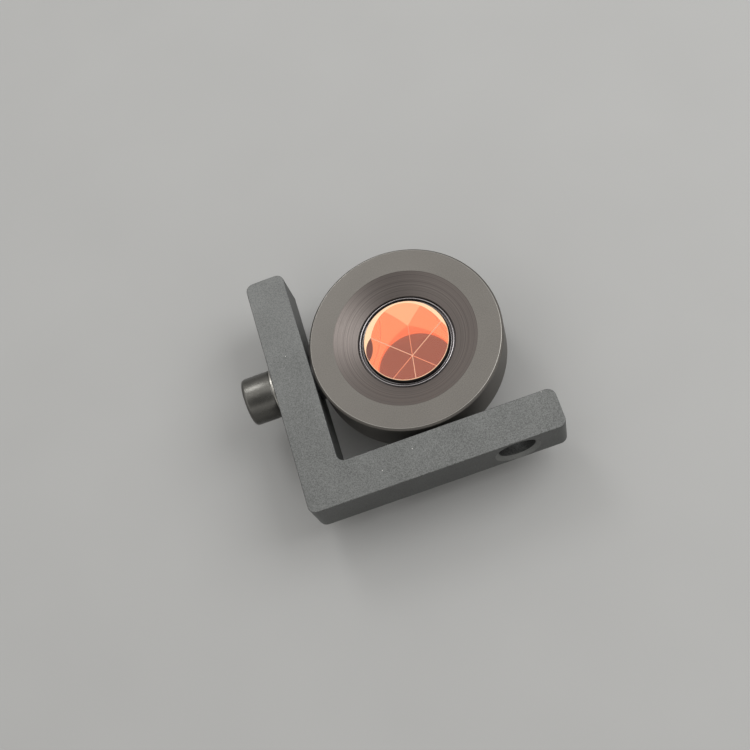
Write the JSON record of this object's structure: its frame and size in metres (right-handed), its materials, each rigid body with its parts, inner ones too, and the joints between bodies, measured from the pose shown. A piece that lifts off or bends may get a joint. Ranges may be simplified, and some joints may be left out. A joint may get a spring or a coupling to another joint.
{
  "type": "survey prism",
  "caption": "Corner-cube survey prism in a round turned housing that tilts on a clamp screw in an L-shaped bracket bar with a countersunk mounting hole.",
  "frame": {"origin": "centre of the bounding box's footprint, at the height of the housing's rear face, on which the part lies", "axes": "+Z along the prism's line of sight, out of its front face; +X along the arm that has the mounting hole; +Y along the arm that carries the clamp screw; -Y out of the mounting hole's countersunk mouth"},
  "size_m": [0.0766, 0.068, 0.024],
  "materials": {
    "bracket_anodise": "bead-blasted, dark grey anodised",
    "screw_steel": "black-oxide steel, rubbed smooth",
    "washer_steel": "bright spring steel",
    "washer_polymer": "black acetal",
    "housing_anodise": "turned, bead-blasted, dark grey anodised",
    "ring_anodise": "satin black anodised, turned",
    "seal_rubber": "matt black nitrile",
    "prism_glass": "polished optical glass",
    "copper_coat": "copper mirror coating",
    "seat_moulding": "black glass-filled nylon",
    "spring_steel": "hardened strip",
    "cover_anodise": "turned, dark grey anodised"
  },
  "bodies": {
    "bracket": {"l_bracket": "bracket_anodise"},
    "housing": {"prism_housing": "housing_anodise", "retaining_ring": "ring_anodise", "front_seal": "seal_rubber", "corner_cube": "prism_glass", "copper_coating": "copper_coat", "prism_seat": "seat_moulding", "wave_spring": "spring_steel", "rear_cover": "cover_anodise", "rear_seal": "seal_rubber", "friction_washer": "washer_polymer"},
    "washer": {"lock_washer": "washer_steel"},
    "screw": {"clamp_screw": "screw_steel"}
  },
  "joints": [
    {"name": "tilt", "type": "hinge", "parent": "bracket", "child": "housing", "pos_m": [-0.0297, 0.00342, 0.0174], "axis": [1, 0, 0], "continuous": true},
    {"name": "clamp_travel", "type": "slide", "parent": "housing", "child": "washer", "axis": [-1, 0, 0], "range_m": [0, 0.007]},
    {"name": "clamp_turn", "type": "hinge", "parent": "washer", "child": "screw", "pos_m": [-0.0297, 0.00342, 0.0174], "axis": [-1, 0, 0], "range_deg": [0, 2016]}
  ],
  "couplings": [
    {"joint": "clamp_travel", "follows": "clamp_turn", "m_per_rad": 0.00019894}
  ]
}
